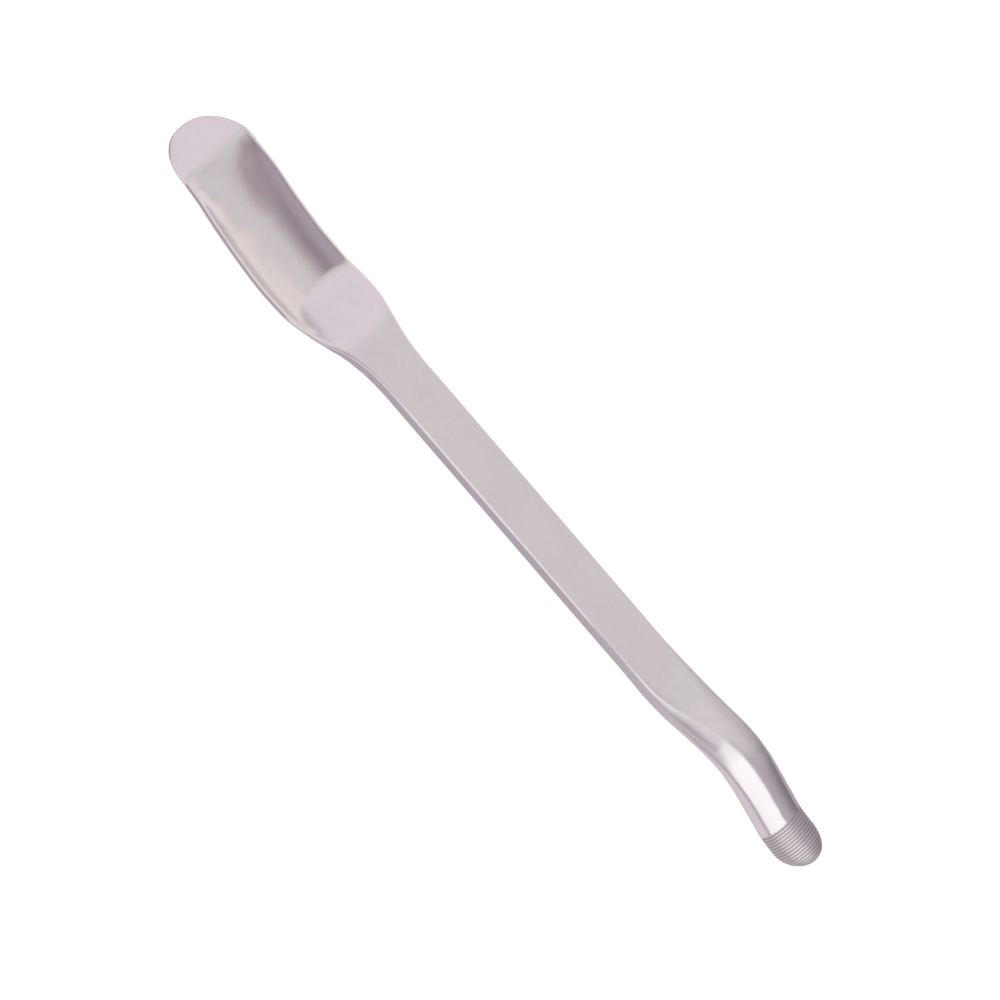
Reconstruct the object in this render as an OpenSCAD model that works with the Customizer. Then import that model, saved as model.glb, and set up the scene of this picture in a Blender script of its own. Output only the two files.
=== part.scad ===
// Tyre lever: one steel forging with a hollowed spoon end, a flat shank,
// a cranked round tail and a grooved tip.
// Millimetres. X runs from the spoon's nose to the tail's tip, Y across,
// Z up. The lever lies on the floor plane with its hollow facing up.

/* [Shank] */
// Length of the straight flat bar
shank_length = 140; // [80:5:320]
// Width of the flat bar
shank_width = 20; // [16:0.2:24]
// Thickness of the flat bar
shank_thickness = 7; // [5:0.5:9]
// Rounding radius of the bar's four long edges
edge_radius = 1; // [0.6:0.1:2.2]

/* [Spoon] */
// Distance from the spoon's nose to the straight bar
spoon_length = 130; // [110:1:160]
// Greatest width across the spoon
spoon_width = 37.4; // [32:0.2:46]
// Length of the rounded outline at the spoon's nose
nose_round = 22; // [16:1:30]
// How squarely the nose outline turns, 2 is an ellipse
nose_fullness = 2.2; // [1.8:0.1:3]
// How far the rim sags below the top face of the bar
rim_dip = 10.8; // [6:0.2:14]
// Width of the flat left along each side of the hollow
rim_width = 1.5; // [1:0.1:3]
// Depth of the hollow below the rim at its deepest place
bowl_depth = 5.8; // [3:0.2:7]
// How flat the hollow's floor is across its width, 2 is a parabola
bowl_fullness = 2.4; // [2:0.1:3]
// Wall under the deepest place of the hollow
bowl_wall = 2.6; // [2.4:0.1:5]
// Height of the ridge behind the nose, above the mid plane of the bar
ridge_height = 2.2; // [0:0.2:4]
// How far the hollow's sides reach ahead of its middle at the ridge
ridge_bow = 2.5; // [0:0.1:4]
// How far the lip drops from the ridge to the nose
lip_drop = 7.4; // [2:0.2:9]

/* [Tail] */
// Distance from the straight bar to the tip's end
tail_length = 110; // [90:1:140]
// Diameter of the round tail behind the tip
tail_diameter = 20; // [17:0.1:23]
// How late the tail's sides turn round, 1 is together with its top
side_delay = 1.6; // [1:0.1:2]
// How far the tail rises above the bar's mid plane at the crank
crank_rise = 7.4; // [3:0.2:12]
// How far the tip drops below the bar's mid plane
crank_drop = 5.7; // [0:0.1:6]

/* [Grooved tip] */
// Number of grooves round the tip
groove_count = 14; // [6:1:14]
// Distance from one groove to the next
groove_pitch = 1.34; // [1.1:0.02:1.36]
// Depth of each groove
groove_depth = 0.44; // [0.1:0.02:0.5]
// Distance from the first groove to the tip's end
groove_start = 20.1; // [19.6:0.1:22]
// Length of the rounded outline at the tip's end
tip_round = 12; // [9:0.5:15]
// How squarely the tip's end turns, 2 is an ellipse
tip_fullness = 2.1; // [1.8:0.1:2.6]
// How far the tip's end is lifted, which rounds its underside
tip_lift = 2.4; // [0:0.2:4]

/* [Hidden] */

steel = [0.79, 0.78, 0.79];
half_bar = shank_thickness / 2;
length = spoon_length + shank_length + tail_length;
x_nose = -length / 2;
x_bar = x_nose + spoon_length;
x_crank = x_bar + shank_length;
x_tip = length / 2 - groove_start - groove_pitch / 2;
steps_across = 24;

// Places along the spoon, measured from its nose
f = spoon_length / 130;
ridge_at = 17.5 * f;
lip_end = 18 * f;
bowl_end = 86 * f;

// Heights are measured from the bar's mid plane
rim_low = half_bar - rim_dip;
floor_low = rim_low - bowl_depth;
back_low = floor_low - bowl_wall;
nose_top = ridge_height - lip_drop;
rest_height = -back_low;

// Each row is a place along the spoon and the value there
half_width_rows = [
    [22 * f, 0.965 * spoon_width / 2],
    [37 * f, spoon_width / 2],
    [68 * f, spoon_width / 2],
    [83 * f, 0.982 * spoon_width / 2],
    [93 * f, 0.925 * spoon_width / 2],
    [100 * f, 0.835 * spoon_width / 2],
    [106 * f, 13.5],
    [113 * f, 11.6],
    [120 * f, 10.5],
    [130 * f, shank_width / 2]
];
rim_rows = [
    [0, nose_top],
    [3.5 * f, nose_top + 0.24 * lip_drop],
    [9 * f, nose_top + 0.57 * lip_drop],
    [16 * f, ridge_height - 0.3],
    [ridge_at, ridge_height],
    [19.5 * f, ridge_height - 0.1],
    [24 * f, ridge_height - 0.7],
    [32 * f, -0.1],
    [50 * f, 0.69 * rim_low + 0.4],
    [69 * f, rim_low],
    [79 * f, 0.97 * rim_low],
    [92 * f, 0.36 * rim_low],
    [102 * f, 1.5],
    [110 * f, 0.94 * half_bar],
    [118 * f, half_bar],
    [130 * f, half_bar]
];
edge_rows = [
    [0, 1.3],
    [60 * f, 1.4],
    [86 * f, 1.6],
    [97 * f, 3],
    [106 * f, 5.6],
    [115 * f, shank_thickness],
    [130 * f, shank_thickness]
];
// Depth of the hollow under the rim, as a share of bowl_depth
depth_rows = [
    [16.5 * f, 0],
    [20.5 * f, 0.3],
    [25.5 * f, 0.67],
    [32 * f, 0.92],
    [42 * f, 1],
    [77 * f, 1],
    [86 * f, 0.84],
    [96 * f, 0.4],
    [104 * f, 0.12],
    [112 * f, 0]
];
back_rows = [
    [0, nose_top - 1.3],
    [10 * f, nose_top + 2.1],
    [18 * f, ridge_height - 4.8],
    [24 * f, 0.4 * back_low],
    [32 * f, 0.62 * back_low],
    [45 * f, 0.8 * back_low],
    [60 * f, 0.97 * back_low],
    [70 * f, back_low],
    [80 * f, 0.98 * back_low],
    [90 * f, 0.74 * back_low],
    [100 * f, 0.4 * back_low],
    [110 * f, -half_bar - 0.6],
    [120 * f, -half_bar],
    [130 * f, -half_bar]
];

// Places along the tail, measured from the straight bar
g = tail_length / 110;
tail_radius = tail_diameter / 2;
tail_width_rows = [
    [0, shank_width / 2],
    [20 * g, shank_width / 2 + 0.4],
    [38 * g, shank_width / 2 + 0.6],
    [60 * g, tail_radius + 0.3],
    [80 * g, tail_radius],
    [tail_length, tail_radius]
];
tail_thick_rows = [
    [0, half_bar],
    [15 * g, half_bar + 0.5],
    [30 * g, 0.55 * tail_radius],
    [45 * g, 0.74 * tail_radius],
    [60 * g, 0.89 * tail_radius],
    [76 * g, tail_radius],
    [tail_length, tail_radius]
];
tail_round_rows = [
    [0, 0],
    [8 * g, 0.1],
    [16 * g, 0.32],
    [24 * g, 0.6],
    [35 * g, 0.92],
    [44 * g, 1],
    [tail_length, 1]
];
tail_height_rows = [
    [0, 0],
    [10 * g, 0.1],
    [24 * g, 0.2 * crank_rise],
    [38 * g, 0.64 * crank_rise],
    [48 * g, 0.95 * crank_rise],
    [54 * g, crank_rise],
    [62 * g, 0.84 * crank_rise],
    [72 * g, 0.36 * crank_rise],
    [82 * g, -0.24 * crank_drop],
    [92 * g, -0.86 * crank_drop],
    [101 * g, -crank_drop],
    [tail_length, -crank_drop]
];

// Smooth curve through rows of [place, value]
function row_before(rows, x, i = 0) =
    (i >= len(rows) - 2 || x < rows[i + 1][0]) ? i : row_before(rows, x, i + 1);
function rate(rows, i) =
    (rows[i + 1][1] - rows[i][1]) / (rows[i + 1][0] - rows[i][0]);
function slope(rows, i) =
    (i <= 0 || i >= len(rows) - 1) ? 0
    : (rate(rows, i - 1) * rate(rows, i) <= 0) ? 0
    : 2 * rate(rows, i - 1) * rate(rows, i) / (rate(rows, i - 1) + rate(rows, i));
function bend(p, q, mp, mq, u) =
    (2 * pow(u, 3) - 3 * pow(u, 2) + 1) * p
    + (pow(u, 3) - 2 * pow(u, 2) + u) * mp
    + (3 * pow(u, 2) - 2 * pow(u, 3)) * q
    + (pow(u, 3) - pow(u, 2)) * mq;
function curve(rows, x) =
    let (
        first = rows[0],
        last = rows[len(rows) - 1],
        at = min(max(x, first[0]), last[0]),
        i = row_before(rows, at),
        run = rows[i + 1][0] - rows[i][0]
    )
    bend(rows[i][1], rows[i + 1][1], slope(rows, i) * run, slope(rows, i + 1) * run,
        (at - rows[i][0]) / run);

// Rounded end outline: 0 at the very end, 1 once it is fully open
function opened(s, run, fullness) =
    s >= run ? 1
    : pow(1 - pow(1 - max(s, 0.002) / run, fullness), 1 / fullness);

// How much an edge rounding takes away at distance y from the middle
function rounding(y, half, across, up) =
    let (q = min(max((abs(y) - half + across) / across, 0), 1))
    up * (1 - sqrt(1 - q * q));

// Positions across a section, from one side to the other
function across(half) =
    [for (i = [0:steps_across]) half * cos(180 * i / steps_across)];

// Closed section ring from a list of positions with their tops and bottoms
function ring(x, ys, tops, bottoms) = concat(
    [for (i = [0:steps_across]) [x, ys[i], tops[i] + rest_height]],
    [for (i = [steps_across:-1:0]) [x, ys[i], bottoms[i] + rest_height]]
);

function spoon_half(s) =
    s < nose_round
    ? curve(half_width_rows, nose_round) * opened(s, nose_round, nose_fullness)
    : curve(half_width_rows, s);
function hollow(s, y, half) =
    let (
        bow = ridge_bow * pow(y / half, 2) * min(max((45 * f - s) / (25 * f), 0), 1),
        depth = bowl_depth * curve(depth_rows, s + bow),
        span = max(half - rim_width, 1)
    )
    depth * max(0, 1 - pow(abs(y / span), bowl_fullness));
function spoon_ring(s) =
    let (
        half = spoon_half(s),
        rim = curve(rim_rows, s),
        edge = curve(edge_rows, s),
        back_mid = curve(back_rows, s),
        round_y = min(edge_radius, 0.45 * half),
        round_z = min(edge_radius, 0.48 * edge),
        ys = across(half)
    )
    ring(x_nose + s, ys,
        [for (y = ys) rim - hollow(s, y, half) - rounding(y, half, round_y, round_z)],
        [for (y = ys)
            back_mid + (rim - edge - back_mid) * pow(abs(y / half), 2.2)
            + rounding(y, half, round_y, round_z)]);

// Grooves round the tip, with rounded ribs between them
function groove(s) =
    let (
        from_first = s - (tail_length - groove_start),
        k = round(from_first / groove_pitch),
        off = min(abs(from_first - k * groove_pitch) / (groove_pitch / 2), 1)
    )
    (k < 0 || k > groove_count - 1) ? 0
    : groove_depth * (1 - sqrt(1 - pow(1 - off, 2)));
function tail_ring(s) =
    let (
        end_open = opened(tail_length - s, tip_round, tip_fullness),
        cut = groove(s),
        half = max(curve(tail_width_rows, s) * end_open - cut, 0.3),
        thick = max(curve(tail_thick_rows, s) * end_open - cut, 0.3),
        share = curve(tail_round_rows, s),
        round_y = edge_radius * (1 - share) + 0.998 * half * share,
        round_z = edge_radius * (1 - share) + 0.985 * thick * pow(share, side_delay),
        lift = tip_lift * pow(max(0, 1 - (tail_length - s) / tip_round), 2),
        middle = curve(tail_height_rows, s) + lift,
        ys = across(half)
    )
    ring(x_crank + s, ys,
        [for (y = ys) middle + thick - rounding(y, half, round_y, round_z)],
        [for (y = ys) middle - thick + rounding(y, half, round_y, round_z)]);

// Solid skin through a list of section rings
module skin(rings) {
    n = len(rings[0]);
    m = len(rings);
    points = [for (r = rings) each r];
    sides = [for (i = [0:m - 2], k = [0:n - 1])
        let (a = i * n + k, b = i * n + (k + 1) % n)
        each [[a, b, b + n], [a, b + n, a + n]]];
    first = [[for (k = [n - 1:-1:0]) k]];
    last = [[for (k = [0:n - 1]) (m - 1) * n + k]];
    polyhedron(points = points, faces = concat(sides, first, last), convexity = 6);
}

// Evenly spaced places from one end of a zone to the other
function places(from, to, count) =
    [for (i = [0:count]) from + (to - from) * i / count];

// Turned-down lip in front of the hollow
module spoon_lip() {
    color(steel)
    skin([for (i = [0:20]) spoon_ring(lip_end * (1 - cos(90 * i / 20)))]);
}

// Hollowed blade of the spoon
module spoon_bowl() {
    color(steel)
    skin([for (s = places(lip_end, bowl_end, 34)) spoon_ring(s)]);
}

// Ramp and shoulders between the hollow and the flat bar
module neck() {
    color(steel)
    skin([for (s = places(bowl_end, spoon_length, 26)) spoon_ring(s)]);
}

// Flat bar with rounded long edges
module shank() {
    color(steel)
    translate([x_bar, 0, rest_height])
    rotate([90, 0, 90])
    linear_extrude(height = shank_length)
    bar_section();
}

module bar_section() {
    dx = shank_width / 2 - edge_radius;
    dy = half_bar - edge_radius;
    square([shank_width, 2 * dy], center = true);
    square([2 * dx, shank_thickness], center = true);
    for (sx = [-1, 1])
        for (sy = [-1, 1])
            translate([sx * dx, sy * dy])
            circle(r = edge_radius, $fn = 48);
}

// S-bent tail that turns from the flat bar into a round rod
module crank() {
    color(steel)
    skin([for (s = places(0, x_tip - x_crank, 44)) tail_ring(s)]);
}

// Grooved blunt tip
module grooved_tip() {
    first = x_tip - x_crank;
    grooves_end = tail_length - groove_start + (groove_count - 0.5) * groove_pitch;
    marks = [for (k = [0:groove_count - 1], d = [0.5, 0.66, 1])
        first + (k + d) * groove_pitch];
    rest = [for (q = [0.35, 0.65, 0.85, 0.96, 1])
        grooves_end + (tail_length - grooves_end) * q];
    color(steel)
    skin([for (s = concat([first, first + 0.16 * groove_pitch], marks, rest)) tail_ring(s)]);
}

spoon_lip();
spoon_bowl();
neck();
shank();
crank();
grooved_tip();
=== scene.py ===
import math

import bpy
import numpy as np
from mathutils import Matrix, Vector


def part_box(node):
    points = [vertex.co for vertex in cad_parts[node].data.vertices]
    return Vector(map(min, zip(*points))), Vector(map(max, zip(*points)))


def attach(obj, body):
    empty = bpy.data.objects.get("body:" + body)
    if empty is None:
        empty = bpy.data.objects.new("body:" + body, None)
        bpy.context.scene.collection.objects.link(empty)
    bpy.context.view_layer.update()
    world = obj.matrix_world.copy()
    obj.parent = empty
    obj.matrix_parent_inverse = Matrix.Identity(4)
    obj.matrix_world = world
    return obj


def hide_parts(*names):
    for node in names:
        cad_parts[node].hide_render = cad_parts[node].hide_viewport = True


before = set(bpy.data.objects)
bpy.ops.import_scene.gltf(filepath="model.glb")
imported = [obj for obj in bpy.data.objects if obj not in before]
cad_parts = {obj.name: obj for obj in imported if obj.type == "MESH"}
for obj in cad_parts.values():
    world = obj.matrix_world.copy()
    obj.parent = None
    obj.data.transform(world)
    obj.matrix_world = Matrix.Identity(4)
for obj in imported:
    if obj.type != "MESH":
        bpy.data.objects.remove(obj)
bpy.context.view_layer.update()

MM = 0.001

# ---------------------------------------------------------------------------
# Sizes in millimetres, the same design values as the CAD part
# ---------------------------------------------------------------------------
SHANK_WIDTH, SHANK_THICKNESS, EDGE_RADIUS = 20.0, 7.0, 1.0
SPOON_WIDTH, NOSE_ROUND, NOSE_FULLNESS = 37.4, 22.0, 2.2
RIM_DIP, RIM_WIDTH, BOWL_DEPTH, BOWL_FULLNESS, BOWL_WALL = 10.8, 1.5, 5.8, 2.4, 2.6
RIDGE_HEIGHT, RIDGE_BOW, LIP_DROP = 2.2, 2.5, 7.4
TAIL_DIAMETER, SIDE_DELAY, CRANK_RISE, CRANK_DROP = 20.0, 1.6, 7.4, 5.7
GROOVE_COUNT, GROOVE_PITCH, GROOVE_DEPTH, GROOVE_START = 14, 1.34, 0.44, 20.1
TIP_ROUND, TIP_FULLNESS, TIP_LIFT = 12.0, 2.1, 2.4
BOW_END, BOW_RUN = 45.0, 25.0            # the ridge's bow fades out over BOW_RUN before BOW_END
RIM_SOFTNESS = 0.08                      # rounding between rim and hollow, as a share of depth
BACK_FULLNESS = 2.2                      # how flat the spoon's back is across its middle
ROUND_Y, ROUND_Z = 0.45, 0.48            # most of a half width, and of an edge, that is rounded
ROD_Y, ROD_Z = 0.998, 0.985              # how much of the rod's half width and thickness is round
LEAST_HALF = 0.3                         # smallest half width at the tip's very end

HALF_BAR = SHANK_THICKNESS / 2
RIM_LOW = HALF_BAR - RIM_DIP
FLOOR_LOW = RIM_LOW - BOWL_DEPTH
BACK_LOW = FLOOR_LOW - BOWL_WALL
NOSE_TOP = RIDGE_HEIGHT - LIP_DROP
REST = -BACK_LOW
TAIL_RADIUS = TAIL_DIAMETER / 2

# Where each zone starts and ends, from the frame
X_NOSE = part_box("spoon_lip")[0].x / MM
X_LIP_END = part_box("spoon_lip")[1].x / MM
X_BOWL_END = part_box("spoon_bowl")[1].x / MM
X_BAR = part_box("shank")[0].x / MM
X_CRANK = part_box("shank")[1].x / MM
X_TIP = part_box("grooved_tip")[0].x / MM
X_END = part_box("grooved_tip")[1].x / MM
TAIL_LENGTH = X_END - X_CRANK

# Rows of (place, value): the spoon's places run from its nose, the tail's from the straight bar
HALF_WIDTH = [(22, 0.965 * SPOON_WIDTH / 2), (37, SPOON_WIDTH / 2), (68, SPOON_WIDTH / 2),
              (83, 0.982 * SPOON_WIDTH / 2), (93, 0.925 * SPOON_WIDTH / 2),
              (100, 0.835 * SPOON_WIDTH / 2), (106, 13.5), (113, 11.6), (120, 10.5),
              (130, SHANK_WIDTH / 2)]
RIM = [(0, NOSE_TOP), (3.5, NOSE_TOP + 0.24 * LIP_DROP), (9, NOSE_TOP + 0.57 * LIP_DROP),
       (16, RIDGE_HEIGHT - 0.3), (17.5, RIDGE_HEIGHT), (19.5, RIDGE_HEIGHT - 0.1),
       (24, RIDGE_HEIGHT - 0.7), (32, -0.1), (50, 0.69 * RIM_LOW + 0.4),
       (69, RIM_LOW), (79, 0.97 * RIM_LOW), (92, 0.36 * RIM_LOW), (102, 1.5),
       (110, 0.94 * HALF_BAR), (118, HALF_BAR), (130, HALF_BAR)]
EDGE = [(0, 1.3), (60, 1.4), (86, 1.6), (97, 3.0), (106, 5.6), (115, SHANK_THICKNESS),
        (130, SHANK_THICKNESS)]
DEPTH = [(16.5, 0), (20.5, 0.3), (25.5, 0.67), (32, 0.92), (42, 1), (77, 1), (86, 0.84),
         (96, 0.4), (104, 0.12), (112, 0)]
BACK = [(0, NOSE_TOP - 1.3), (10, NOSE_TOP + 2.1), (18, RIDGE_HEIGHT - 4.8),
        (24, 0.4 * BACK_LOW), (32, 0.62 * BACK_LOW), (45, 0.8 * BACK_LOW), (60, 0.97 * BACK_LOW),
        (70, BACK_LOW), (80, 0.98 * BACK_LOW), (90, 0.74 * BACK_LOW), (100, 0.4 * BACK_LOW),
        (110, -HALF_BAR - 0.6), (120, -HALF_BAR), (130, -HALF_BAR)]
TAIL_WIDTH = [(0, SHANK_WIDTH / 2), (20, SHANK_WIDTH / 2 + 0.4), (38, SHANK_WIDTH / 2 + 0.6),
              (60, TAIL_RADIUS + 0.3), (80, TAIL_RADIUS), (TAIL_LENGTH, TAIL_RADIUS)]
TAIL_THICK = [(0, HALF_BAR), (15, HALF_BAR + 0.5), (30, 0.55 * TAIL_RADIUS),
              (45, 0.74 * TAIL_RADIUS), (60, 0.89 * TAIL_RADIUS), (76, TAIL_RADIUS),
              (TAIL_LENGTH, TAIL_RADIUS)]
TAIL_ROUND = [(0, 0), (8, 0.1), (16, 0.32), (24, 0.6), (35, 0.92), (44, 1), (TAIL_LENGTH, 1)]
TAIL_HEIGHT = [(0, 0), (10, 0.1), (24, 0.2 * CRANK_RISE), (38, 0.64 * CRANK_RISE),
               (48, 0.95 * CRANK_RISE), (54, CRANK_RISE), (62, 0.84 * CRANK_RISE),
               (72, 0.36 * CRANK_RISE), (82, -0.24 * CRANK_DROP), (92, -0.86 * CRANK_DROP),
               (101, -CRANK_DROP), (TAIL_LENGTH, -CRANK_DROP)]


def curve(rows, x):
    """Smooth curve through (place, value) rows, level at both ends."""
    px = np.array([r[0] for r in rows], float)
    py = np.array([r[1] for r in rows], float)
    rate = np.diff(py) / np.diff(px)
    slope = np.zeros(len(px))
    for i in range(1, len(px) - 1):
        if rate[i - 1] * rate[i] > 0:
            slope[i] = 2 * rate[i - 1] * rate[i] / (rate[i - 1] + rate[i])
    x = np.clip(np.asarray(x, float), px[0], px[-1])
    i = np.clip(np.searchsorted(px, x, side="right") - 1, 0, len(px) - 2)
    run = px[i + 1] - px[i]
    u = (x - px[i]) / run
    return ((2 * u**3 - 3 * u**2 + 1) * py[i] + (u**3 - 2 * u**2 + u) * run * slope[i]
            + (3 * u**2 - 2 * u**3) * py[i + 1] + (u**3 - u**2) * run * slope[i + 1])


def opened(s, run, fullness):
    """Rounded end outline: 0 at the very end, 1 once it is fully open."""
    q = np.clip(1 - np.maximum(s, 0.002) / run, 0, 1)
    return (1 - q**fullness) ** (1 / fullness)


def rounding(y, half, across, up):
    """How much an edge rounding takes away at distance y from the middle."""
    q = np.clip((np.abs(y) - half + across) / across, 0, 1)
    return up * (1 - np.sqrt(1 - q * q))


def soft_min(a, b, width):
    """The lower of two surfaces, with the line where they meet rounded off."""
    h = np.clip(1 - np.abs(a - b) / width, 0, None)
    return np.minimum(a, b) - h * h * width / 4


def spoon_surface(s, c):
    """Top and back heights of the spoon, neck and bar; s along, c across from 1 to -1."""
    half = np.where(s < NOSE_ROUND, curve(HALF_WIDTH, NOSE_ROUND)
                    * opened(s, NOSE_ROUND, NOSE_FULLNESS), curve(HALF_WIDTH, s))
    y = half * c
    rim, edge = curve(RIM, s), curve(EDGE, s)
    bow = RIDGE_BOW * c * c * np.clip((BOW_END - s) / BOW_RUN, 0, 1)
    depth = BOWL_DEPTH * curve(DEPTH, s + bow)
    span = np.maximum(half - RIM_WIDTH, 1)
    hollow = rim - depth * (1 - np.abs(y / span) ** BOWL_FULLNESS)
    top = soft_min(rim, hollow, RIM_SOFTNESS * depth + 0.001)
    back = curve(BACK, s)
    back = back + (rim - edge - back) * np.abs(c) ** BACK_FULLNESS
    cut = rounding(y, half, np.minimum(EDGE_RADIUS, ROUND_Y * half),
                   np.minimum(EDGE_RADIUS, ROUND_Z * edge))
    return y, top - cut, back + cut


def groove(s):
    """Depth of the grooves that run round the tip, with rounded ribs between them."""
    along = s - (TAIL_LENGTH - GROOVE_START)
    k = np.round(along / GROOVE_PITCH)
    off = np.abs(along - k * GROOVE_PITCH) / (GROOVE_PITCH / 2)
    inside = (k >= 0) & (k <= GROOVE_COUNT - 1)
    return np.where(inside, GROOVE_DEPTH * (1 - np.sqrt(1 - (1 - np.minimum(off, 1)) ** 2)), 0)


def tail_surface(s, c):
    """Top and back heights of the crank and the tip."""
    end_open = opened(TAIL_LENGTH - s, TIP_ROUND, TIP_FULLNESS)
    cut = groove(s)
    half = np.maximum(curve(TAIL_WIDTH, s) * end_open - cut, LEAST_HALF)
    thick = np.maximum(curve(TAIL_THICK, s) * end_open - cut, LEAST_HALF)
    share = curve(TAIL_ROUND, s)
    round_y = EDGE_RADIUS * (1 - share) + ROD_Y * half * share
    round_z = EDGE_RADIUS * (1 - share) + ROD_Z * thick * share ** SIDE_DELAY
    lift = TIP_LIFT * np.maximum(0, 1 - (TAIL_LENGTH - s) / TIP_ROUND) ** 2
    middle = curve(TAIL_HEIGHT, s) + lift
    y = half * c
    take = rounding(y, half, round_y, round_z)
    return y, middle + thick - take, middle - thick + take


def lever_points(x, across):
    """Grid of skin points: one closed ring for each place x."""
    c = np.cos(np.pi * np.arange(across + 1) / across)[None, :]
    x = np.asarray(x, float)[:, None]
    sy, st, sb = spoon_surface(np.clip(x - X_NOSE, 0, None), c)
    ty, tt, tb = tail_surface(np.clip(x - X_CRANK, 0, TAIL_LENGTH), c)
    tail = x > (X_BAR + X_CRANK) / 2
    y, top, back = np.where(tail, ty, sy), np.where(tail, tt, st), np.where(tail, tb, sb)
    ys = np.concatenate([y, y[:, ::-1]], 1)
    zs = np.concatenate([top, back[:, ::-1]], 1) + REST
    xs = np.broadcast_to(x, ys.shape)
    return np.stack([xs, ys, zs], -1) * MM


ACROSS = 132                             # steps from one side of a section to the other
# painted shade on the grooved tip: its amount on the ribs, and the power that deepens it towards
# each groove's bottom
RIB_SHADE, SHADE_POWER = 0.28, 1.5
EDGE_TURN, TURN_KEPT = 700.0, 0.25       # radians a metre of a worn edge, and the share left clean
NORMAL_STEP = 0.04


def groove_shade_at(places, n):
    """Mask of the painted shade over the grooved tip: a fixed share on the ribs and 1 at the
    bottom of each groove.
    """
    s = places - X_CRANK
    first = TAIL_LENGTH - GROOVE_START - GROOVE_PITCH / 2
    deep = (groove(s) / GROOVE_DEPTH) ** SHADE_POWER
    amount = np.where(s > first, RIB_SHADE + (1 - RIB_SHADE) * deep, 0)
    return np.repeat(amount[:, None], n, axis=1)


def wear_at(grid, normal):
    """How sharply the skin turns at each point round a section, 1 on the tightest edges."""
    turn = np.linalg.norm(np.roll(normal, -2, 1) - np.roll(normal, 2, 1), axis=-1)
    run = np.linalg.norm(np.roll(grid, -2, 1) - np.roll(grid, 2, 1), axis=-1)
    return np.clip(turn / np.maximum(run, 1e-5) / EDGE_TURN - TURN_KEPT, 0, 1)


def skin(places):
    """Points of one ring for each place, and their outward normals.

    The normals are taken from the whole lever, so they run on from zone to zone.
    """
    grid = lever_points(places, ACROSS)
    ahead = lever_points(np.clip(places + NORMAL_STEP, X_NOSE, X_END), ACROSS)
    behind = lever_points(np.clip(places - NORMAL_STEP, X_NOSE, X_END), ACROSS)
    around = np.roll(grid, -1, 1) - np.roll(grid, 1, 1)
    normal = np.cross(around, ahead - behind)
    normal = normal / np.maximum(np.linalg.norm(normal, axis=-1, keepdims=True), 1e-15)
    middle = grid.mean(axis=1, keepdims=True)
    if ((grid - middle) * normal).sum() < 0:
        normal = -normal
    return grid, normal


def ring_faces(m, n):
    """Quads between m rings of n points, with one flat cap at each end."""
    i, k = np.meshgrid(np.arange(m - 1), np.arange(n), indexing="ij")
    a, b = i * n + k, i * n + (k + 1) % n
    quads = np.stack([a, b, b + n, a + n], -1).reshape(-1, 4).tolist()
    return quads + [list(range(n - 1, -1, -1)), [(m - 1) * n + j for j in range(n)]]


def zone(name, places):
    """One closed zone of the forging."""
    grid, normal = skin(places)
    m, n = grid.shape[:2]
    mesh = bpy.data.meshes.new(name)
    mesh.from_pydata(grid.reshape(-1, 3).tolist(), [], ring_faces(m, n))
    mesh.validate()
    for key, amount in (("groove_shade", groove_shade_at(places, n)), ("wear", wear_at(grid, normal))):
        mesh.attributes.new(key, "FLOAT", "POINT").data.foreach_set("value", amount.ravel())

    mesh.shade_smooth()
    for cap in mesh.polygons[-2:]:
        cap.use_smooth = False
    flat = normal.reshape(-1, 3)
    loops = []
    for face in mesh.polygons:
        if len(face.vertices) > 4:
            loops.extend([tuple(face.normal)] * len(face.vertices))
        else:
            loops.extend(tuple(flat[v]) for v in face.vertices)
    mesh.normals_split_custom_set(loops)
    piece = bpy.data.objects.new(name, mesh)
    bpy.context.scene.collection.objects.link(piece)
    return piece


def spaced(start, stop, gap):
    """Evenly spaced places from start to stop, about gap apart."""
    return np.linspace(start, stop, max(2, int(round((stop - start) / gap)) + 1))


grooves_to = X_END - GROOVE_START + (GROOVE_COUNT - 0.5) * GROOVE_PITCH
lip_run = X_LIP_END - X_NOSE
lip_places = X_NOSE + lip_run * (1 - np.cos(np.linspace(0, math.pi / 2, 64)))
tip_rest = grooves_to + (X_END - grooves_to) * np.sin(np.linspace(0, math.pi / 2, 26))

ZONES = {
    "spoon_lip": lip_places,
    "spoon_bowl": spaced(X_LIP_END, X_BOWL_END, 0.5),
    "neck": spaced(X_BOWL_END, X_BAR, 0.5),
    "shank": spaced(X_BAR, X_CRANK, 2.0),
    "crank": spaced(X_CRANK, X_TIP, 0.6),
    "grooved_tip": np.concatenate([spaced(X_TIP, grooves_to, 0.12), tip_rest[1:]]),
}


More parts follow.
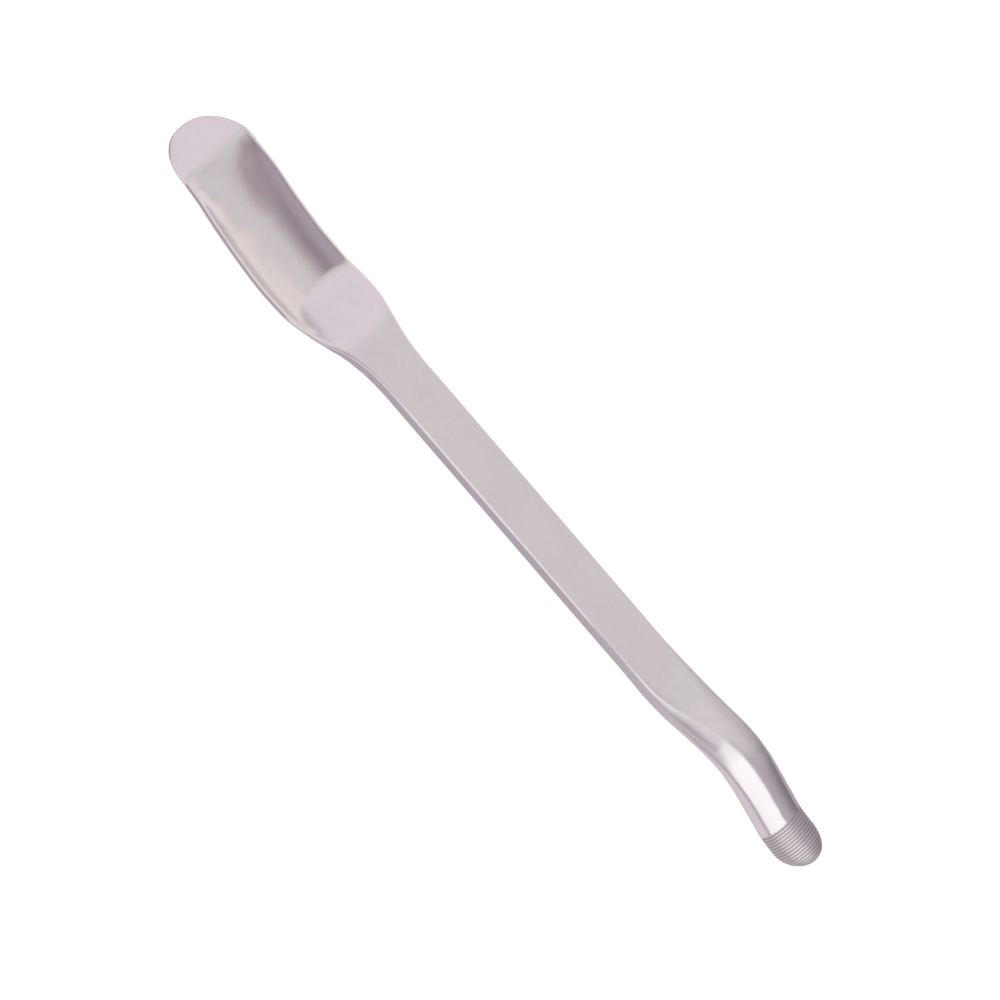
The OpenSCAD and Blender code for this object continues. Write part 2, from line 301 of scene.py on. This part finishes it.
# ---------------------------------------------------------------------------
# Shader nodes in short form
# ---------------------------------------------------------------------------
class Shading:
    """Adds nodes to one node tree and hands back their outputs."""

    def __init__(self, owner):
        owner.use_nodes = True
        self.nodes, self.links = owner.node_tree.nodes, owner.node_tree.links

    def feed(self, socket, value):
        """Joins a socket to an output, or sets it to a number or a colour."""
        if isinstance(value, bpy.types.NodeSocket):
            self.links.new(value, socket)
        elif socket.type == "RGBA":
            socket.default_value = (*value, 1)
        else:
            socket.default_value = value

    def maths(self, kind, *values):
        m = self.nodes.new("ShaderNodeMath")
        m.operation = kind
        for socket, value in zip(m.inputs, values):
            self.feed(socket, value)
        return m.outputs["Value"]

    def spread(self, value, low, high, to_low, to_high, curve="LINEAR"):
        """Turns the range from low to high into the range from to_low to to_high."""
        m = self.nodes.new("ShaderNodeMapRange")
        m.interpolation_type = curve
        self.feed(m.inputs["Value"], value)
        for key, number in (("From Min", low), ("From Max", high), ("To Min", to_low),
                            ("To Max", to_high)):
            m.inputs[key].default_value = number
        return m.outputs["Result"]

    def ease(self, value, low, high, to_low, to_high):
        return self.spread(value, low, high, to_low, to_high, "SMOOTHSTEP")

    def blend(self, amount, under, colour):
        """Goes from one colour to another as amount goes from 0 to 1."""
        m = self.nodes.new("ShaderNodeMix")
        m.data_type = "RGBA"
        self.feed(m.inputs["Factor"], amount)
        self.feed(m.inputs["A"], under)
        self.feed(m.inputs["B"], colour)
        return m.outputs["Result"]

    def attribute(self, name):
        a = self.nodes.new("ShaderNodeAttribute")
        a.attribute_name = name
        return a.outputs["Fac"]

    def axes(self, output):
        """The X, Y and Z parts of one output of the texture coordinates."""
        split = self.nodes.new("ShaderNodeSeparateXYZ")
        where = self.nodes.new("ShaderNodeTexCoord")
        self.links.new(where.outputs[output], split.inputs[0])
        return split.outputs

    def noise(self, scale, detail, rough=0.5, stretch=(1.0, 1.0, 1.0)):
        where = self.nodes.new("ShaderNodeTexCoord")
        mapping = self.nodes.new("ShaderNodeMapping")
        mapping.inputs["Scale"].default_value = stretch
        self.links.new(where.outputs["Object"], mapping.inputs["Vector"])
        t = self.nodes.new("ShaderNodeTexNoise")
        t.inputs["Scale"].default_value = scale
        t.inputs["Detail"].default_value = detail
        t.inputs["Roughness"].default_value = rough
        self.links.new(mapping.outputs["Vector"], t.inputs["Vector"])
        return t.outputs["Fac"]

    def ramp(self, value, low, middle, high):
        """A colour ramp through three (place, colour) stops."""
        r = self.nodes.new("ShaderNodeValToRGB")
        stops = r.color_ramp.elements
        for stop, (at, colour) in zip(stops, (low, high)):
            stop.position = at
            stop.color = (*colour, 1)
        stops.new(middle[0]).color = (*middle[1], 1)
        self.links.new(value, r.inputs["Fac"])
        return r.outputs["Color"]


# ---------------------------------------------------------------------------
# Satin bright steel
# ---------------------------------------------------------------------------
LAVENDER_STEEL = (0.790, 0.762, 0.788)
PLAIN_STEEL = (0.800, 0.783, 0.786)
WARM_STEEL = (0.812, 0.792, 0.780)
DULL_SPOT = (0.66, 0.63, 0.65)
# painted shade colour for the ribs and groove bottoms of the tip
GROOVE_SHADE = (0.27, 0.21, 0.25)
RUBBED_EDGE = (0.90, 0.885, 0.88)
GRAIN_HEIGHT, WAVE_HEIGHT, SCRATCH_DEPTH = 1.2e-6, 30e-6, 0.8e-6     # metres


def steel():
    mat = bpy.data.materials.new("satin_bright_steel")
    s = Shading(mat)
    shader = s.nodes["Principled BSDF"]
    shader.inputs["Metallic"].default_value = 1.0
    groove_shade, wear = s.attribute("groove_shade"), s.attribute("wear")

    # faint warm and lavender patches, 15 to 30 mm across, and a fine mottle
    patches = s.noise(42.0, 2.0, stretch=(1.0, 1.6, 1.6))
    mottle = s.noise(620.0, 3.0, 0.6)
    tint = s.ramp(patches, (0.30, LAVENDER_STEEL), (0.50, PLAIN_STEEL), (0.70, WARM_STEEL))
    tint = s.blend(s.spread(mottle, 0.45, 0.85, 0.0, 0.22), tint, DULL_SPOT)
    # painted shade: darkens the ribs a little and the groove bottoms most
    tint = s.blend(s.maths("MULTIPLY", groove_shade, 0.9), tint, GROOVE_SHADE)
    tint = s.blend(s.maths("MULTIPLY", wear, 0.5), tint, RUBBED_EDGE)
    s.feed(shader.inputs["Base Color"], tint)

    # grinding grain along the lever, fingered smudges, dull ribs and polished edges
    grain = s.noise(1.0, 3.0, 0.6, stretch=(60.0, 2600.0, 2600.0))
    smudge = s.noise(95.0, 4.0, 0.62)
    rough = s.maths("ADD", s.spread(grain, 0.3, 0.7, 0.160, 0.215),
                    s.spread(smudge, 0.35, 0.75, -0.020, 0.050))
    rough = s.maths("ADD", rough, s.spread(groove_shade, 0.0, RIB_SHADE, 0.0, 0.24))
    rough = s.maths("ADD", rough, s.maths("MULTIPLY", wear, -0.05))
    s.feed(shader.inputs["Roughness"], rough)

    # the grain's own relief, soft waves left by hand grinding, fine scratches across
    scratch = s.noise(1.0, 2.0, 0.5, stretch=(2400.0, 150.0, 150.0))
    wave = s.noise(55.0, 1.0)
    relief = s.maths("ADD", s.spread(grain, 0.0, 1.0, 0.0, GRAIN_HEIGHT),
                     s.spread(wave, 0.0, 1.0, 0.0, WAVE_HEIGHT))
    relief = s.maths("ADD", relief, s.spread(scratch, 0.62, 0.80, 0.0, -SCRATCH_DEPTH))
    bump = s.nodes.new("ShaderNodeBump")
    bump.inputs["Strength"].default_value = 1.0
    bump.inputs["Distance"].default_value = 1.0
    s.feed(bump.inputs["Height"], relief)
    s.feed(shader.inputs["Normal"], bump.outputs["Normal"])
    return mat


STEEL = steel()
for node, places in ZONES.items():
    piece = zone(node + "_surface", places)
    piece.data.materials.append(STEEL)
    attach(piece, "root")
    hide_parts(node)

# ---------------------------------------------------------------------------
# Camera
# ---------------------------------------------------------------------------
TILT = math.radians(25.0)          # the camera leans this far across the lever
LEAN = -0.16                       # and this share of its distance towards the spoon
HEADING = math.radians(49.26)      # the lever runs down to the right at this angle
DISTANCE = 1.80
SCALE = 2.588                      # picture widths in thousandths for one millimetre
SENSOR = 36.0
AIM_BACK, AIM_SIDE = 0.0011, 0.0028     # the picture's middle, from the lever's middle

level = math.sqrt(1 - LEAN * LEAN)
toward = Vector((LEAN, -math.sin(TILT) * level, math.cos(TILT) * level))
lateral = Vector((0, -math.cos(TILT), -math.sin(TILT)))
along = toward.cross(lateral)
right = along * math.cos(HEADING) - lateral * math.sin(HEADING)
up = -(along * math.sin(HEADING) + lateral * math.cos(HEADING))
aim = Vector((0, 0, REST * MM)) - along * AIM_BACK + lateral * AIM_SIDE

lens = bpy.data.cameras.new("camera")
lens.sensor_width = SENSOR
lens.lens = SENSOR * SCALE * DISTANCE
lens.clip_start, lens.clip_end = 0.01, 50.0
camera = bpy.data.objects.new("camera", lens)
facing = Matrix((right, up, toward)).transposed().to_4x4()
camera.matrix_world = Matrix.Translation(aim + toward * DISTANCE) @ facing
bpy.context.scene.collection.objects.link(camera)
bpy.context.scene.camera = camera


# ---------------------------------------------------------------------------
# Floor, backdrop, studio and reflectors
# ---------------------------------------------------------------------------
FLOOR_HALF, FLOOR_DROP = 6.0, 0.0002
DOME_RADIUS, DOME_STEPS, DOME_RINGS = 5.5, 48, 12
DOME_FOOT, DOME_TOP = -0.15, math.pi / 2 - 0.01      # angles above the floor, in radians


def staged(name, spots, faces, unseen_by, mat):
    """A piece of the stage, hidden from the kinds of light in unseen_by."""
    mesh = bpy.data.meshes.new(name)
    mesh.from_pydata(spots, [], faces)
    mesh.materials.append(mat)
    o = bpy.data.objects.new(name, mesh)
    bpy.context.scene.collection.objects.link(o)
    for use in unseen_by:
        setattr(o, "visible_" + use, False)


def glowing(name, shade, strength):
    """A matt material that also gives off white light."""
    mat = bpy.data.materials.new(name)
    shader = Shading(mat).nodes["Principled BSDF"]
    shader.inputs["Base Color"].default_value = (shade, shade, shade, 1)
    shader.inputs["Roughness"].default_value = 0.9
    shader.inputs["Emission Color"].default_value = (1, 1, 1, 1)
    shader.inputs["Emission Strength"].default_value = strength
    return mat


def floor():
    h = FLOOR_HALF
    corners = [(x, y, -FLOOR_DROP) for x, y in ((-h, -h), (h, -h), (h, h), (-h, h))]
    staged("floor", corners, [(0, 1, 2, 3)], ["glossy"], glowing("pale_floor", 0.9, 0.7))


def backdrop():
    """A white dome all round, which only the camera sees."""
    n = DOME_STEPS
    spots = [(DOME_RADIUS * math.cos(a) * math.cos(b), DOME_RADIUS * math.sin(a) * math.cos(b),
              DOME_RADIUS * math.sin(b))
             for b in np.linspace(DOME_FOOT, DOME_TOP, DOME_RINGS)
             for a in np.arange(n) * 2 * math.pi / n]
    quads = [(r * n + k, r * n + (k + 1) % n, (r + 1) * n + (k + 1) % n, (r + 1) * n + k)
             for r in range(DOME_RINGS - 1) for k in range(n)]
    crown = tuple(range((DOME_RINGS - 1) * n, DOME_RINGS * n))
    staged("backdrop", spots, quads + [crown],
           ["diffuse", "glossy", "shadow", "transmission", "volume_scatter"],
           glowing("backdrop", 0.0, 1.0))


def studio():
    """The surroundings that the steel reflects, as soft regions of direction."""
    world = bpy.data.worlds.new("studio")
    bpy.context.scene.world = world
    s = Shading(world)
    direction = s.axes("Generated")

    def share(axis, start, stop):
        """Goes smoothly from 0 to 1 as the part along axis goes from start to stop."""
        if start < stop:
            return s.ease(direction[axis], start, stop, 0.0, 1.0)
        return s.ease(direction[axis], stop, start, 1.0, 0.0)

    def both(a, b):
        return s.maths("MULTIPLY", a, b)

    level_part = share("X", -0.36, -0.10)          # leaves out what rising slopes reflect
    ramp_part = both(share("X", -0.36, -0.54), share("Z", -0.20, 0.05))
    warm_part = both(share("X", 0.125, 0.155), share("X", 0.205, 0.170))
    regions = [
        ((0.762, 0.690, 0.683), warm_part),
        ((0.66, 0.605, 0.63), share("Y", 0.58, 0.90)),
        # the dark side, for the far wall of the hollow and the near edges
        ((0.33, 0.265, 0.31), both(share("Y", 0.37, -0.48), level_part)),
        ((0.44, 0.355, 0.39), both(share("Y", 0.52, 0.00), share("X", 0.38, 0.62))),
        ((0.46, 0.40, 0.46), both(share("Y", -0.42, -0.66), level_part)),
        ((0.64, 0.58, 0.62), both(share("Y", -0.55, -0.80), share("Z", 0.55, 0.25))),
        # lavender for the ramp and the lip, with a shadow at the ramp's near side
        ((0.84, 0.765, 0.835), ramp_part),
        ((0.56, 0.49, 0.55), both(share("X", -0.28, -0.46), share("Y", 0.68, 0.88))),
        ((0.36, 0.32, 0.36), share("X", -0.86, -0.97)),
        # darker below the horizon
        ((0.60, 0.55, 0.58), both(share("Z", 0.05, -0.25), share("Y", 0.70, 0.30))),
        ((0.50, 0.44, 0.50), share("Z", -0.16, -0.42)),
        ((0.53, 0.47, 0.53), share("Z", -0.45, -0.80)),
    ]
    sky = (0.745, 0.708, 0.726)
    for colour, amount in regions:
        sky = s.blend(amount, sky, colour)
    background = s.nodes["Background"]
    s.feed(background.inputs["Color"], sky)
    background.inputs["Strength"].default_value = 1.0


# Shares of a card's length and height where its strength changes and its edges fade
GLOW_ALONG, GLOW_UP, FADE_OUT = (0.10, 0.36), (0.15, 0.75), (0.92, 1.0)
LOW_EDGE, HIGH_EDGE = (0.0, 0.04), (0.97, 1.0)


def card(name, reach, high, low, colour, fade_in, strength, upper=1.0, lower=1.0, skew=0.0):
    """A sloping reflector beside the lever, seen only in reflections.

    It runs along X over reach, and from its high edge to its low edge, each (Y, Z). It fades
    in over the share fade_in of its length, and its low edge starts later than its high edge
    by the share skew. Its strength eases from the first number of strength to the second
    along X, times upper at its high edge and lower at its low edge.
    """
    start, end = reach
    mat = bpy.data.materials.new(name)
    s = Shading(mat)
    s.nodes.clear()
    place = s.axes("Generated")
    run, height = place["X"], place["Z"]
    light = s.nodes.new("ShaderNodeEmission")
    light.inputs["Color"].default_value = (*colour, 1)
    glow = s.maths("MULTIPLY", s.ease(run, *GLOW_ALONG, *strength),
                   s.ease(height, *GLOW_UP, lower, upper))
    s.feed(light.inputs["Strength"], glow)

    begun = s.ease(s.maths("MULTIPLY_ADD", height, skew, run), skew, skew + fade_in, 0, 1)
    seen = s.maths("MULTIPLY", begun, s.ease(run, *FADE_OUT, 1, 0))
    seen = s.maths("MULTIPLY", seen, s.ease(height, *LOW_EDGE, 0, 1))
    seen = s.maths("MULTIPLY", seen, s.ease(height, *HIGH_EDGE, 1, 0))
    mix = s.nodes.new("ShaderNodeMixShader")
    clear = s.nodes.new("ShaderNodeBsdfTransparent")
    for socket, output in zip(mix.inputs, (seen, clear.outputs[0], light.outputs[0])):
        s.links.new(output, socket)
    s.links.new(mix.outputs[0], s.nodes.new("ShaderNodeOutputMaterial").inputs["Surface"])

    corners = [(start, *high), (end, *high), (end, *low), (start, *low)]
    staged(name, corners, [(0, 1, 2, 3)],
           ["camera", "diffuse", "shadow", "transmission", "volume_scatter"], mat)


floor()
backdrop()
studio()
# the white band along the tail, its dark far side and its lit near side
card("softbox", reach=(0.0, 0.50), high=(-0.010, 0.215), low=(-0.190, -0.035),
     colour=(1.0, 0.985, 0.99), fade_in=0.12, strength=(0.90, 1.24), lower=0.95, skew=0.38)
card("grey_flag", reach=(0.08, 0.50), high=(-0.004, 0.220), low=(0.195, -0.035),
     colour=(0.95, 0.86, 0.95), fade_in=0.40, strength=(1.0, 1.0), upper=0.55, lower=0.24)
card("side_reflector", reach=(0.08, 0.50), high=(-0.300, -0.150), low=(-0.020, -0.280),
     colour=(1.0, 0.90, 0.965), fade_in=0.30, strength=(0.66, 0.80))
# light lines along the bar's near edges
card("edge_reflector", reach=(-0.075, 0.075), high=(-0.012, 0.085), low=(-0.070, 0.020),
     colour=(1.0, 0.96, 0.98), fade_in=0.25, strength=(0.88, 0.88))
card("corner_reflector", reach=(-0.09, 0.05), high=(-0.200, 0.040), low=(-0.200, -0.110),
     colour=(1.0, 0.945, 0.975), fade_in=0.25, strength=(0.86, 0.86))
# cream on the near wall of the hollow
card("cream_reflector", reach=(-0.25, -0.02), high=(0.150, 0.235), low=(0.330, -0.140),
     colour=(1.0, 0.905, 0.895), fade_in=0.25, strength=(1.06, 0.96), upper=0.90, lower=1.14)

bpy.context.scene.view_settings.view_transform = "Standard"
